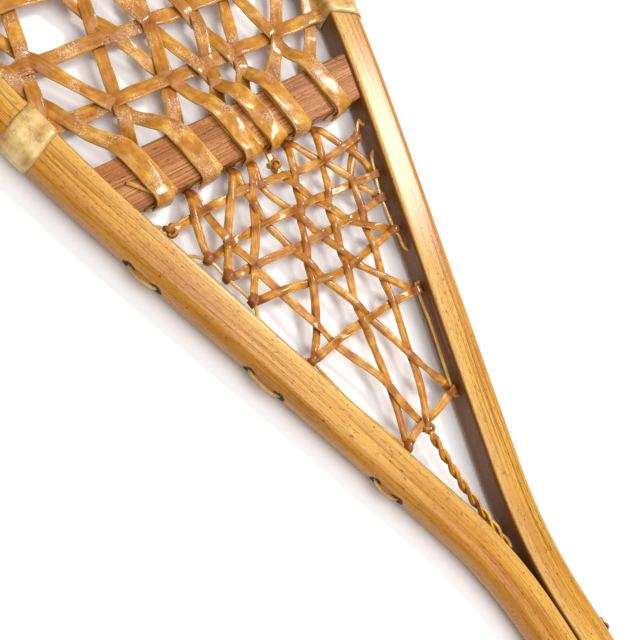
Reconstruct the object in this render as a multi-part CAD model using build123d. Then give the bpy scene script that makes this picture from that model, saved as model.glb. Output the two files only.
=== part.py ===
from build123d import *
import os
from math import asin, atan2, ceil, cos, degrees, hypot, radians, sin, sqrt

os.makedirs("parts", exist_ok=True)

# A traditional laced snowshoe of the teardrop pattern: a one-piece bent ash frame whose two ends
# run together into a tail, two crossbars let into the rails, and three laced sections of rawhide.
# +X points to the toe, +Y to the left, +Z up.  The origin is under the middle of the whole shoe.

# ---- Driving sizes, millimetres and degrees ----
overall_length = 914.0          # tail tip to nose, measured along the ground
overall_width = 279.0           # over the rails at the widest place

rail_width = 22.2
rail_height = 17.0
rail_edge = 5.0                 # rounding of the rail's long edges
tail_corner = 9.0               # rounding of the tail's outer corners, seen from above
tail_gap = 0.3                  # hairline between the two rails where they run together

shoulder_radius = 330.0         # rail centreline, at each side of the nose
nose_sweep = 60.0               # angle taken up by the tight nose arc on each side
straight_run = 217.0            # straight stretch of each rail, heel crossbar to tail
tail_bend_radius = 270.0        # where a rail turns parallel to the other one
tail_joined = 122.5             # length over which the two rails lie side by side

toe_bend_from_nose = 172.0      # where the toe starts to turn up
toe_bend_radius = 320.0         # underside of the turned-up toe

bar_width = 27.6                # crossbars
bar_thickness = 11.0
bar_edge = 1.5
heel_bar_from_tail = 434.0      # to the middle of the crossbar
toe_bar_from_nose = 190.0
tenon_width = 20.0
tenon_thickness = 7.0
tenon_depth = 9.0

lace_width = 4.0                # babiche of the toe and tail sections
lace_thickness = 3.0
lanyard_width = 3.0             # cord threaded through the rails, which carries that lacing
lanyard_hole = 2.6              # the lanyard is drawn tight and narrower in its holes
stitch_depth = 1.6              # groove for the lanyard's short stitches outside the rail
heavy_lace_width = 8.0          # babiche of the foot section
wrap_thickness = 1.5            # rawhide turns round rails and crossbars
rail_wrap_width = 19.0
rail_wrap_pair = 32.0           # middle to middle of the two turns of a pair

toe_cord_diameter = 7.5         # thick cord across the back of the toe hole
toe_hole_length = 86.0
toe_hole_width = 104.0
side_cord_diameter = 6.0        # cords down both sides of the toe hole

knot_radius = 4.6
twist_diameter = 4.6            # two-ply cord from the tail lacing to the tail joint

rivet_diameter = 4.0
rivet_head_diameter = 9.0
rivet_head_height = 1.6
burr_diameter = 10.0
burr_thickness = 1.2
rivet_first = 22.0              # from the tail tip
rivet_pitch = 38.0
rivet_count = 3

thong_diameter = 2.2            # thin thong through the left end of the heel crossbar
thong_hole_inset = 7.0          # from the rail's face

# ---- Places along the shoe ----
base_z = wrap_thickness         # the shoe stands on the turns round its rails
mid_z = base_z + rail_height / 2
toe_bend_z = base_z + toe_bend_radius
nose_x = overall_length / 2
tail_x = -overall_length / 2
heel_x = tail_x + heel_bar_from_tail
toe_bar_x = nose_x - toe_bar_from_nose
toe_bend_x = nose_x - toe_bend_from_nose
toe_cord_x = toe_bar_x - bar_width / 2 - toe_hole_length - toe_cord_diameter / 2

# Tail section: lacing anchors as (distance behind the heel crossbar's middle, distance in from
# the rail's face), front to back, on each side.
tail_anchors_left = [(29, 7), (52, 8.5), (64, 8), (81, 7.5), (123, 4.5), (190, 4)]
tail_anchors_right = [(32, 9), (56, 4.5), (69, 6), (88, 4.5), (124, 3), (180, 3)]
apex_behind_bar, apex_side = 187.0, 3.0
tail_stitches = [(31, 47), (105, 124), (188, 203)]            # pairs of holes behind the bar
lanyard_end_behind = 212.0
twist_end_behind = 268.0
bar_knot_behind = 24.5

# Places across the shoe, as shares of the clear half width between the rails there.  Turns round
# a crossbar are (place, width).
tail_anchors_bar = [0.547, 0.195, 0.049, -0.097, -0.267, -0.523]
bar_knot_side = -0.073
heel_wraps = [
    (0.76, 0.158), (0.407, 0.158), (0.061, 0.17), (-0.152, 0.182), (-0.377, 0.158), (-0.76, 0.158),
]
toe_wraps_left = [(0.797, 0.113), (0.624, 0.113), (0.433, 0.113)]
toe_cord_anchors_left = [0.705, 0.445, 0.158]
side_anchors_cord = [0.78, 0.594]                             # strands beside the toe hole

# Foot section: pairs of turns round each rail.
rail_wrap_first = 57.0          # ahead of the heel crossbar's middle
rail_wrap_pitch = 64.0          # between one pair and the next
side_wrap_behind = 51.0         # last pair, beside the toe hole, behind the toe crossbar's middle

toe_lace_pitch = 21.0           # spacing of each of the three sets of toe strands
toe_lace_sets = [(90, 0.7), (30, 0.35), (-30, 0.35)]          # heading, and shift in pitches
toe_stitches = [(76, 92), (128, 144)]                         # pairs of holes behind the nose


# ---- Rail centreline: tangent arcs from the nose back to the tail ----
half_width = overall_width / 2 - rail_width / 2
tail_half = rail_width / 2 + tail_gap / 2
nose_centre_x = nose_x - rail_width / 2
nose_radius = shoulder_radius - (shoulder_radius - half_width) / sin(radians(nose_sweep))
nose_centre_x -= nose_radius
shoulder_x = nose_centre_x - (shoulder_radius - nose_radius) * cos(radians(nose_sweep))
joined_x = tail_x + tail_joined
run_x = shoulder_x - joined_x
run_y = half_width - tail_half
radii_sum = (run_x ** 2 + run_y ** 2 - straight_run ** 2) / (2 * run_y)
side_radius = radii_sum - tail_bend_radius
taper = degrees(atan2(run_x, radii_sum - run_y) - atan2(straight_run, radii_sum))


def side_curve(offset):
    """The left rail's line from the nose to the tail, moved outwards by offset."""
    nose = JernArc((nose_centre_x + nose_radius + offset, 0), (0, 1), nose_radius + offset, nose_sweep)
    shoulder = JernArc(nose @ 1, nose % 1, shoulder_radius + offset, 90 - nose_sweep)
    side = JernArc(shoulder @ 1, shoulder % 1, side_radius + offset, taper)
    straight = Line(side @ 1, side @ 1 + (side % 1) * straight_run)
    bend = JernArc(straight @ 1, straight % 1, tail_bend_radius - offset, -taper)
    return [nose, shoulder, side, straight, bend]


def half_region(offset):
    """Everything on the inner side of the left rail's line moved outwards by offset."""
    curve = side_curve(offset)
    joined, low, front = curve[-1] @ 1, -rail_width, nose_x + rail_width
    edges = curve + [
        Line(joined, (tail_x, joined.Y)),
        Line((tail_x, joined.Y), (tail_x, low)),
        Line((tail_x, low), (front, low)),
        Line((front, low), (front, 0)),
        Line((front, 0), curve[0] @ 0),
    ]
    return make_face(edges)


def rail_line(x, offset):
    """Distance from the middle line of a point at x on the left rail's line, moved by offset."""
    slope = radians(taper)
    if x > nose_centre_x + (nose_radius + offset) * cos(radians(nose_sweep)):
        return sqrt((nose_radius + offset) ** 2 - (x - nose_centre_x) ** 2)
    if x > shoulder_x:
        centre_y = half_width - shoulder_radius
        return centre_y + sqrt((shoulder_radius + offset) ** 2 - (x - shoulder_x) ** 2)
    if x > shoulder_x - (side_radius + offset) * sin(slope):
        centre_y = half_width - side_radius
        return centre_y + sqrt((side_radius + offset) ** 2 - (x - shoulder_x) ** 2)
    if x > joined_x + (tail_bend_radius - offset) * sin(slope):
        end_x = joined_x + (tail_bend_radius - offset) * sin(slope)
        end_y = tail_half + tail_bend_radius - (tail_bend_radius - offset) * cos(slope)
        return end_y + (x - end_x) * sin(slope) / cos(slope)
    if x > joined_x:
        return tail_half + tail_bend_radius - sqrt((tail_bend_radius - offset) ** 2 - (x - joined_x) ** 2)
    return tail_half + offset


def face_half(x):
    """Distance from the middle line to the rail's inner face at x."""
    return rail_line(x, -rail_width / 2)


def rail_heading(x):
    """Angle between the left rail and the X axis at x, in degrees."""
    step = 0.5
    return degrees(atan2(rail_line(x + step, 0) - rail_line(x - step, 0), 2 * step))


def band(low, high):
    """A sheet the width of the shoe between two heights, turned up at the toe as the frame is."""
    reach = nose_x + rail_width
    swing_low = degrees(asin((reach - toe_bend_x) / (toe_bend_z - low)))
    swing_high = degrees(asin((reach - toe_bend_x) / (toe_bend_z - high)))
    under = JernArc((toe_bend_x, low), (1, 0), toe_bend_z - low, swing_low)
    over = JernArc((toe_bend_x, high), (1, 0), toe_bend_z - high, swing_high)
    tail = tail_x - rail_width
    profile = make_face([
        Line((tail, low), (toe_bend_x, low)), under, Line(under @ 1, over @ 1), over,
        Line((toe_bend_x, high), (tail, high)), Line((tail, high), (tail, low)),
    ])
    return extrude(Plane.XZ * profile, overall_width, both=True)


def toe_rise(x):
    """How far the turned-up toe has lifted the middle of the rail at x."""
    if x <= toe_bend_x:
        return 0.0
    radius = toe_bend_z - mid_z
    return radius - sqrt(radius ** 2 - (x - toe_bend_x) ** 2)


def zone(x0, x1, y0=-overall_width, y1=overall_width):
    """A plan rectangle."""
    return Pos((x0 + x1) / 2, (y0 + y1) / 2) * Rectangle(x1 - x0, y1 - y0)


def raised(plan, height):
    """A plan shape made into a sheet of the given thickness, about the middle of the rails."""
    tall = overall_width
    return extrude(plan, tall, both=True) & band(mid_z - height / 2, mid_z + height / 2)


def flat_strip(start, end, width):
    """A straight plan strip with round ends."""
    length = hypot(end[0] - start[0], end[1] - start[1])
    angle = degrees(atan2(end[1] - start[1], end[0] - start[0]))
    middle = ((start[0] + end[0]) / 2, (start[1] + end[1]) / 2)
    return Pos(*middle) * SlotCenterToCenter(length, width, rotation=angle)


def flat_web(strands, width):
    """Straight strips fused into one plan shape."""
    strips = [flat_strip(start, end, width) for start, end in strands]
    return strips[0] + strips[1:]


def both_sides(shape):
    return shape + mirror(shape, about=Plane.XZ)


def largest(shape):
    return max(shape.solids(), key=lambda solid: solid.volume)


# ---- Frame ----
def make_frame_blank():
    outer, inner = half_region(rail_width / 2), half_region(-rail_width / 2)
    rail = (outer - inner) & zone(tail_x, nose_x, 0, overall_width)
    corner = [v for v in rail.vertices() if v.X < tail_x + 1e-3 and v.Y > rail_width / 2]
    rail = fillet(corner, tail_corner)
    blank = extrude(both_sides(rail), overall_width, both=True) & band(base_z, base_z + rail_height)
    return blank


def round_rail_edges(blank):
    long_edges = [
        edge for edge in blank.edges()
        if abs((edge % 0.5).Z) < 0.9 and edge.length > 2 * rail_width
    ]
    return fillet(long_edges, rail_edge)


def bar_tenons(x):
    """The block that fills both mortises and runs right through the bar between them."""
    reach = face_half(x) + tenon_depth
    return Pos(x, 0, mid_z) * Box(tenon_width, 2 * reach, tenon_thickness)


# ---- Crossbars ----
def make_crossbar(x, frame_shape):
    reach = face_half(x) + rail_width / 2
    blank = Box(bar_width, 2 * reach, bar_thickness)
    blank = Pos(x, 0, mid_z) * fillet(blank.edges().filter_by(Axis.Y), bar_edge)
    between = largest(blank - frame_shape)
    return between + bar_tenons(x)


# ---- Rivets through the joined tail ----
def rivet_places():
    return [tail_x + rivet_first + rivet_pitch * i for i in range(rivet_count)]


def rivet_seat_y():
    return rail_width + tail_gap / 2


def along_y(radius, length):
    """A cylinder lying across the shoe, centred on the origin."""
    return Rot(90, 0, 0) * Cylinder(radius, length)


def make_rivets():
    rivets = []
    seat = rivet_seat_y()
    for x in rivet_places():
        shank_length = 2 * seat + burr_thickness + rivet_head_height / 2
        shank_middle = -(shank_length / 2 - seat)
        shank = Pos(x, shank_middle, mid_z) * along_y(rivet_diameter / 2, shank_length)
        head = along_y(rivet_head_diameter / 2, rivet_head_height)
        head = Pos(x, seat + rivet_head_height / 2, mid_z) * head
        head = fillet(head.edges().sort_by(Axis.Y)[-1], rivet_head_height * 0.6)
        rivets.append(shank + head)
    return rivets


def make_burrs():
    burrs = []
    for x in rivet_places():
        middle = -(rivet_seat_y() + burr_thickness / 2)
        ring = along_y(burr_diameter / 2, burr_thickness) - along_y(rivet_diameter / 2, burr_thickness)
        burrs.append(Pos(x, middle, mid_z) * ring)
    return burrs


# ---- Lanyards, threaded through the rails ----
def rail_strip(x0, x1, low, high):
    """Plan strip along the left rail between two offsets from its centreline."""
    return (half_region(high) - half_region(low)) & zone(x0, x1, 0, overall_width)


def hole_point(x, offset):
    """A point on the axis of the hole at x through the left rail, offset from the centreline."""
    heading = radians(rail_heading(x))
    return x - offset * sin(heading), rail_line(x, 0) + offset * cos(heading)


def rail_leg(x):
    """The stretch of lanyard inside one hole, square to the left rail."""
    inner = -rail_width / 2 - lanyard_width / 2
    outer = rail_width / 2 - stitch_depth + lanyard_width / 2
    centre = hole_point(x, (inner + outer) / 2)
    leg = along_y(lanyard_hole / 2, outer - inner)
    return Pos(*centre, mid_z + toe_rise(centre[0])) * Rot(0, 0, rail_heading(x)) * leg


def stitches(hole_pairs):
    """Short runs outside the left rail, sunk in it, with the legs that lead to them."""
    low = rail_width / 2 - stitch_depth
    half = lanyard_width / 2
    shape = Part()
    for ahead, behind in hole_pairs:
        start, end = hole_point(behind, low + half)[0] - half, hole_point(ahead, low + half)[0] + half
        shape += raised(rail_strip(start, end, low, low + lanyard_width), lanyard_width)
        shape += [rail_leg(ahead), rail_leg(behind)]
    return shape


def on_side(shape, side):
    return shape if side > 0 else mirror(shape, about=Plane.XZ)


def tail_anchor(side, index):
    behind, inset = (tail_anchors_left if side > 0 else tail_anchors_right)[index]
    x = heel_x - behind
    return x, side * (face_half(x) - inset)


def make_tail_lanyard(side):
    """Inside runs through the lacing anchors, and the stitches outside between them."""
    pairs = [(heel_x - a, heel_x - b) for a, b in tail_stitches]
    stops = [hole_point(x, -rail_width / 2 - lanyard_width / 2) for pair in pairs for x in pair]
    stops = [(x, side * y) for x, y in stops]
    anchors = [tail_anchor(side, i) for i in range(len(tail_anchors_left))]
    slack_x = (anchors[4][0] + anchors[5][0]) / 2
    slack = (slack_x, side * (face_half(slack_x) - lanyard_width))
    last_x = heel_x - lanyard_end_behind
    runs = [
        [anchors[0], stops[0]],
        [stops[1], anchors[1], anchors[2], anchors[3], stops[2]],
        [stops[3], anchors[4], slack, anchors[5], stops[4]],
        [stops[5], (last_x, side * (face_half(last_x) - lanyard_width / 2))],
    ]
    strands = [pair for run in runs for pair in zip(run, run[1:]) if pair[0] != pair[1]]
    inside = raised(flat_web(strands, lanyard_width), lanyard_width)
    return (inside - frame_round) + on_side(stitches(pairs), side)


def make_toe_lanyard():
    """Round the inside of the toe in one run, with stitches outside each rail."""
    start = toe_bar_x + bar_width / 2
    face = -rail_width / 2
    strip = both_sides(rail_strip(start, nose_x, face - lanyard_width, face))
    pairs = [(nose_x - a, nose_x - b) for a, b in toe_stitches]
    side = stitches(pairs)
    return raised(strip, lanyard_width) + side + mirror(side, about=Plane.XZ)


# ---- Tail lacing ----
def tail_strands():
    """Three sets of straight strands between the anchors."""
    left = [tail_anchor(1, i) for i in range(len(tail_anchors_left))]
    right = [tail_anchor(-1, i) for i in range(len(tail_anchors_right))]
    bar = [(heel_x - bar_width / 2, share * heel_half) for share in tail_anchors_bar]
    knot = (heel_x - bar_knot_behind, bar_knot_side * heel_half)
    apex = (heel_x - apex_behind_bar, apex_side)
    across = list(zip(left, right))
    steep = [(bar[0], left[1]), (bar[1], left[2]), (bar[2], left[3]), (bar[4], left[4])]
    steep += [(bar[5], left[5]), (right[0], apex)]
    shallow = [(bar[0], apex), (bar[1], right[5]), (bar[2], right[4]), (knot, right[3])]
    shallow += [(bar[4], right[2]), (bar[5], right[1]), (bar[3], knot)]
    return across + steep + shallow


def ball(x, y, radius):
    return Pos(x, y, mid_z) * Sphere(radius)


def rod(start, end, diameter):
    """A round bar between two places at the middle height of the rails."""
    length = hypot(end[0] - start[0], end[1] - start[1])
    angle = degrees(atan2(end[1] - start[1], end[0] - start[0]))
    lying = Rot(0, 0, angle) * Rot(0, 90, 0) * Cylinder(diameter / 2, length)
    return Pos((start[0] + end[0]) / 2, (start[1] + end[1]) / 2, mid_z) * lying


# ---- Rawhide turns ----
def rail_turn(x, width):
    """One flat turn round the left rail, square to it."""
    block = Box(width, rail_width + 2 * wrap_thickness, rail_height + 2 * wrap_thickness)
    block = fillet(block.edges().filter_by(Axis.X), rail_edge + wrap_thickness)
    return Pos(x, rail_line(x, 0), mid_z) * Rot(0, 0, rail_heading(x)) * block


def make_rail_turns(x, side):
    turns = [on_side(rail_turn(place, rail_wrap_width) - frame_round, side) for place in pair_places(x)]
    return [largest(turn) for turn in turns]


def make_bar_turns(x, wraps, bar):
    """Flat turns round a crossbar."""
    half, turns = face_half(x), []
    for place, width in wraps:
        block = Box(bar_width + 2 * wrap_thickness, width * half, bar_thickness + 2 * wrap_thickness)
        block = fillet(block.edges().filter_by(Axis.Y), bar_edge + wrap_thickness)
        turns.append(largest(Pos(x, place * half, mid_z) * block - bar))
    return turns


# ---- Foot lacing ----
def pair_places(x):
    """Middles of the two turns of a pair."""
    return [x - rail_wrap_pair / 2, x + rail_wrap_pair / 2]


def foot_strands():
    """Strands across the shoe, and two slanting sets that mirror each other."""
    left = [(x, face_half(x)) for pair in foot_pairs for x in pair_places(pair)]
    right = [(x, -y) for x, y in left]
    heel = [(heel_x + bar_width / 2, place * heel_half) for place, width in heel_wraps]
    front = [(toe_cord_x, place * cord_reach) for place in toe_cord_anchors_left]
    front += [(x, -y) for x, y in front[::-1]]
    across = list(zip(left, right))
    leaning_left = list(zip(heel + right[:-2], left[2:] + front))
    leaning_right = list(zip(heel[::-1] + left[:-2], right[2:] + front[::-1]))
    return across + leaning_left + leaning_right


def side_strands(side):
    """Strands between the cord beside the toe hole and the rail."""
    hole_y = toe_hole_width / 2
    rails = [(x, face_half(x)) for x in pair_places(side_pair)]
    bar = [(bar_face, place * face_half(toe_bar_x)) for place, width in toe_wraps_left[:2]]
    cord = [(toe_cord_x, place * cord_reach) for place in side_anchors_cord]
    strands = [(rails[0], (rails[0][0], hole_y)), (rails[1], (rails[1][0], hole_y))]
    strands += [(rails[0], bar[1]), (rails[1], cord[1]), (cord[0], bar[0])]
    return [((x0, side * y0), (x1, side * y1)) for (x0, y0), (x1, y1) in strands]


# ---- Toe lacing ----
def toe_strands():
    """Three sets of evenly spaced strands that leave six-sided openings."""
    reach = overall_width
    centre_x = toe_bar_x + bar_width / 2
    strands = []
    for heading, shift in toe_lace_sets:
        along = (cos(radians(heading)), sin(radians(heading)))
        square = (-along[1], along[0])
        count = ceil(reach / toe_lace_pitch)
        for i in range(-count, count):
            out = (i + shift) * toe_lace_pitch
            middle = (centre_x + out * square[0], out * square[1])
            start = (middle[0] - reach * along[0], middle[1] - reach * along[1])
            strands.append((start, (middle[0] + reach * along[0], middle[1] + reach * along[1])))
    return strands


def make_toe_lacing():
    inside = half_region(-rail_width / 2 - lanyard_width) & zone(0, nose_x, 0, overall_width)
    inside = both_sides(inside) & zone(toe_bar_x + bar_width / 2, nose_x)
    return raised(flat_web(toe_strands(), lace_width) & inside, lace_thickness)


# ---- The shoe, piece by piece ----
heel_half = face_half(heel_x)
cord_reach = face_half(toe_cord_x)
bar_face = toe_bar_x - bar_width / 2
side_pair = toe_bar_x - side_wrap_behind
foot_room = toe_cord_x - heel_x - rail_wrap_pair - rail_wrap_width - rail_wrap_first
pair_count = int(foot_room / rail_wrap_pitch) + 1
foot_pairs = [heel_x + rail_wrap_first + rail_wrap_pitch * i for i in range(pair_count)]

frame_round = round_rail_edges(make_frame_blank())
heel_crossbar = make_crossbar(heel_x, frame_round)
toe_crossbar = make_crossbar(toe_bar_x, frame_round)
rivets = make_rivets()
tail_lanyards = [make_tail_lanyard(side) for side in (1, -1)]
toe_lanyard = make_toe_lanyard()

# The frame is cut by what passes through it: tenons, rivet shanks and lanyards.
frame = frame_round - [bar_tenons(heel_x), bar_tenons(toe_bar_x)] - rivets
frame = largest(frame - tail_lanyards - toe_lanyard)

start_knot = ball(*tail_anchor(1, 0), knot_radius)
side_knot = ball(*tail_anchor(-1, 0), knot_radius)
bar_knot = ball(heel_x - bar_knot_behind, bar_knot_side * heel_half, knot_radius)
apex_x = heel_x - apex_behind_bar
apex_knot = ball(apex_x, apex_side, knot_radius)
knots = [start_knot, side_knot, bar_knot, apex_knot]
tail_lanyards = [lanyard - [start_knot, side_knot] for lanyard in tail_lanyards]

heel_turns = make_bar_turns(heel_x, heel_wraps, heel_crossbar)
toe_wraps = toe_wraps_left + [(-place, width) for place, width in toe_wraps_left[::-1]]
toe_turns = make_bar_turns(toe_bar_x, toe_wraps, toe_crossbar)
tail_lacing = raised(flat_web(tail_strands(), lace_width), lace_thickness)
tail_lacing = tail_lacing - knots - tail_lanyards - [frame, heel_crossbar] - heel_turns
tail_lacing = largest(tail_lacing)

pinch_x = heel_x - twist_end_behind
twist = rod((apex_x, apex_side), (pinch_x, 0), twist_diameter)
tail_twist = largest(twist - [apex_knot, tail_lacing, frame] - tail_lanyards)

rail_turns = [[make_rail_turns(x, side) for side in (1, -1)] for x in foot_pairs + [side_pair]]
cord_turns = [make_rail_turns(toe_cord_x, side) for side in (1, -1)]
all_rail_turns = [turn for pair in rail_turns for side in pair for turn in side]
all_cord_turns = [turn for side in cord_turns for turn in side]

toe_cord = rod((toe_cord_x, -cord_reach), (toe_cord_x, cord_reach), toe_cord_diameter)
toe_cord = largest(toe_cord - all_cord_turns - frame)
side_cords = []
for side in (1, -1):
    y = side * toe_hole_width / 2
    cord = rod((toe_cord_x, y), (bar_face, y), side_cord_diameter)
    side_cords.append(largest(cord - toe_cord - toe_turns))

foot_area = both_sides(half_region(-rail_width / 2) & zone(heel_x, toe_cord_x, 0, overall_width))
foot_area = foot_area & zone(heel_x + bar_width / 2, toe_cord_x)
foot_cutters = all_rail_turns + all_cord_turns + heel_turns + [toe_cord, frame]
foot_lacing = raised(flat_web(foot_strands(), heavy_lace_width) & foot_area, lace_thickness)
foot_lacing = largest(foot_lacing - foot_cutters)
side_lacing = []
for side, cord in zip((1, -1), side_cords):
    web = raised(flat_web(side_strands(side), heavy_lace_width), lace_thickness)
    cutters = all_rail_turns + all_cord_turns + toe_turns + [toe_cord, cord, toe_crossbar, frame]
    side_lacing.append(largest(web - cutters))

toe_lacing = largest(make_toe_lacing() - toe_turns)

thong_x, thong_y = heel_x, face_half(heel_x) - thong_hole_inset
thong_leg = Pos(thong_x, thong_y, mid_z) * Cylinder(thong_diameter / 2, bar_thickness)
heel_crossbar = heel_crossbar - thong_leg

pieces = {
    "frame": frame,
    "heel_crossbar": heel_crossbar,
    "toe_crossbar": toe_crossbar,
    "tail_rivets": rivets,
    "tail_rivet_burrs": make_burrs(),
    "tail_lanyard_left": tail_lanyards[0],
    "tail_lanyard_right": tail_lanyards[1],
    "toe_lanyard": toe_lanyard,
    "tail_lacing": tail_lacing,
    "tail_twist_cord": tail_twist,
    "tail_start_knot": start_knot,
    "tail_side_knot": side_knot,
    "tail_bar_knot": bar_knot,
    "tail_apex_knot": apex_knot,
    "foot_lacing": foot_lacing,
    "foot_lacing_left": side_lacing[0],
    "foot_lacing_right": side_lacing[1],
    "toe_lacing": toe_lacing,
    "toe_cord": toe_cord,
    "toe_hole_cord_left": side_cords[0],
    "toe_hole_cord_right": side_cords[1],
    "toe_cord_turns_left": cord_turns[0],
    "toe_cord_turns_right": cord_turns[1],
    "heel_crossbar_turns": heel_turns,
    "toe_crossbar_turns": toe_turns,
}
for number, (left, right) in enumerate(rail_turns, 1):
    pieces[f"rail_turns_left_{number}"] = left
    pieces[f"rail_turns_right_{number}"] = right
pieces["heel_crossbar_thong"] = thong_leg

for name, shape in pieces.items():
    solids = shape if isinstance(shape, list) else shape.solids()
    solids = [solid for item in solids for solid in item.solids()]
    export_step(Compound(solids) if len(solids) > 1 else solids[0], f"parts/{name}.step")
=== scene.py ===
import bmesh
import bpy
import math
import numpy as np
from mathutils import Matrix, Vector, noise


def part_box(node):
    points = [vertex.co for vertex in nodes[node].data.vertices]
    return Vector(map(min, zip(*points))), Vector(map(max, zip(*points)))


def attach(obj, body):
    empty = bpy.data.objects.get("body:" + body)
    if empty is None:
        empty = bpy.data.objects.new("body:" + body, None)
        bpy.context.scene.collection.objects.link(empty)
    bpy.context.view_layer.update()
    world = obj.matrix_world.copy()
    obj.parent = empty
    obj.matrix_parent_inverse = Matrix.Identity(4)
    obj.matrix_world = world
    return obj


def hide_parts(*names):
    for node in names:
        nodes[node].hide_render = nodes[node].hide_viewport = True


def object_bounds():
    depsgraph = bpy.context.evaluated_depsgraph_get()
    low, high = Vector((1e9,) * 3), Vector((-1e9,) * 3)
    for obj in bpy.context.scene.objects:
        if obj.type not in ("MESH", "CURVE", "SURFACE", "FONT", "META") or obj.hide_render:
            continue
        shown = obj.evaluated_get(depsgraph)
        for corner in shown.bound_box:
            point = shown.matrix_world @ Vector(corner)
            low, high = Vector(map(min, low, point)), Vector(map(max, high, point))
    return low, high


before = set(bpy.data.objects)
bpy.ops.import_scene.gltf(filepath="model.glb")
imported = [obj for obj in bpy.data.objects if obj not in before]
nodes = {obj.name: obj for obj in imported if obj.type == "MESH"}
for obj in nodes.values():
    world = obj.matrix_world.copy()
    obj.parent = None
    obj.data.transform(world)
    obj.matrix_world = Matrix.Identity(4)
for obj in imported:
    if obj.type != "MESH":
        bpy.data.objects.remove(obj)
cad_low, cad_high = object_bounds()
MM = 0.001

# ---- Places measured on the CAD frame ----
bar_low, bar_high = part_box("heel_crossbar")
toe_bar_low, toe_bar_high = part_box("toe_crossbar")
heel_x = (bar_low.x + bar_high.x) / 2
toe_bar_x = (toe_bar_low.x + toe_bar_high.x) / 2
mid_z = (bar_low.z + bar_high.z) / 2
bar_half = (bar_high.x - bar_low.x) / 2
toe_cord_low, toe_cord_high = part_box("toe_cord")
toe_cord_x = (toe_cord_low.x + toe_cord_high.x) / 2
rng = np.random.default_rng(7)


def hit(start, direction):
    """Where a ray first meets the CAD frame."""
    found, place, _, _ = nodes["frame"].ray_cast(Vector(start), Vector(direction).normalized())
    return np.array(place) if found else None


def unit_rows(vectors):
    """The same directions, each with a length of one."""
    return vectors / np.linalg.norm(vectors, axis=-1, keepdims=True)


def distance_along(path):
    """Distance from the start of a path to each of its points."""
    return np.concatenate([[0], np.cumsum(np.linalg.norm(np.diff(path, axis=0), axis=1))])


def resample(points, step):
    """The same line with even spacing, and the distance along it."""
    points = np.asarray(points, float)
    along = distance_along(points)
    count = max(int(round(along[-1] / step)), 2) + 1
    wanted = np.linspace(0, along[-1], count)
    return np.stack([np.interp(wanted, along, points[:, i]) for i in range(points.shape[1])], 1), wanted


def smooth(points, passes):
    """Averages each inner point with its neighbours."""
    points = points.copy()
    for _ in range(passes):
        points[1:-1] = points[1:-1] / 2 + (points[:-2] + points[2:]) / 4
    return points


def curve_through(controls, step):
    """A Catmull-Rom curve through the points given, evenly spaced."""
    p = np.asarray(controls, float)
    p = np.vstack([2 * p[0] - p[1], p, 2 * p[-1] - p[-2]])
    out = []
    for a, b, c, d in zip(p, p[1:], p[2:], p[3:]):
        t = np.linspace(0, 1, 24, endpoint=False)[:, None]
        out.append(0.5 * (2 * b + (c - a) * t + (2 * a - 5 * b + 4 * c - d) * t ** 2
                          + (3 * b - 3 * c + d - a) * t ** 3))
    out.append(p[-2][None])
    return resample(np.vstack(out), step)[0]


# ---- The rail's centreline, read from the outer face of the CAD frame ----
PROBE_Z = mid_z + 2.6 * MM        # clear of the lanyard's holes and grooves
RAIL_STEP = 1.6 * MM


def rail_size():
    """Width and height of the rail, measured halfway between the heel crossbar and the tail."""
    x = (cad_low.x + heel_x) / 2
    outer, inner = hit((x, 1, PROBE_Z), (0, -1, 0)), hit((x, 0.002, PROBE_Z), (0, 1, 0))
    ahead = hit((x + 0.01, 1, PROBE_Z), (0, -1, 0))
    slope = math.atan2(ahead[1] - outer[1], 0.01)
    y = (outer[1] + inner[1]) / 2
    top, bottom = hit((x, y, 1), (0, 0, -1)), hit((x, y, -1), (0, 0, 1))
    return (outer[1] - inner[1]) * math.cos(slope), top[2] - bottom[2]


RAIL_WIDTH, RAIL_HEIGHT = rail_size()


def half_rail():
    """Centreline of the left rail from the tail to the nose, as x, y, z."""
    pivot = cad_high.x - (cad_high.y - cad_low.y) / 2
    outer = [hit((x, 1, PROBE_Z), (0, -1, 0)) for x in np.linspace(cad_low.x + 0.012, toe_bar_x, 240)]
    turn = math.atan2(outer[-1][1], toe_bar_x - pivot)
    height = mid_z
    clear = PROBE_Z - mid_z
    for angle in np.linspace(turn, 0.004, 320)[1:]:
        way = np.array((math.cos(angle), math.sin(angle), 0))
        place = hit(np.array((pivot, 0, height + clear)) + way, -way)
        if place is None:
            continue
        inside = place - way * RAIL_WIDTH * 0.5
        top = hit((inside[0], inside[1], 1), (0, 0, -1))
        bottom = hit((inside[0], inside[1], -1), (0, 0, 1))
        if top is None or bottom is None or top[2] - bottom[2] > RAIL_HEIGHT * 1.3:
            continue
        height = (top[2] + bottom[2]) / 2
        outer.append(np.array((place[0], place[1], height)))
    nose = (hit((cad_high.x - RAIL_WIDTH / 2, 0, 1), (0, 0, -1))
            + hit((cad_high.x - RAIL_WIDTH / 2, 0, -1), (0, 0, 1))) / 2
    outer.append(np.array((cad_high.x, 0, nose[2])))
    outer = np.array(outer)
    outer[:240, 2] = mid_z
    outer = np.vstack([[cad_low.x, outer[0][1], mid_z], outer])
    outer = smooth(resample(outer, RAIL_STEP)[0], 12)
    ahead = unit_rows(np.gradient(outer[:, :2], axis=0))
    line = outer.copy()
    line[:, 0] += ahead[:, 1] * RAIL_WIDTH / 2
    line[:, 1] -= ahead[:, 0] * RAIL_WIDTH / 2
    line[-1, 1] = 0
    return resample(line, RAIL_STEP)[0]


LEFT_RAIL = half_rail()
mirrored = LEFT_RAIL[::-1][1:] * np.array((1, -1, 1))
WHOLE_RAIL = np.vstack([LEFT_RAIL, mirrored])


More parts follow.
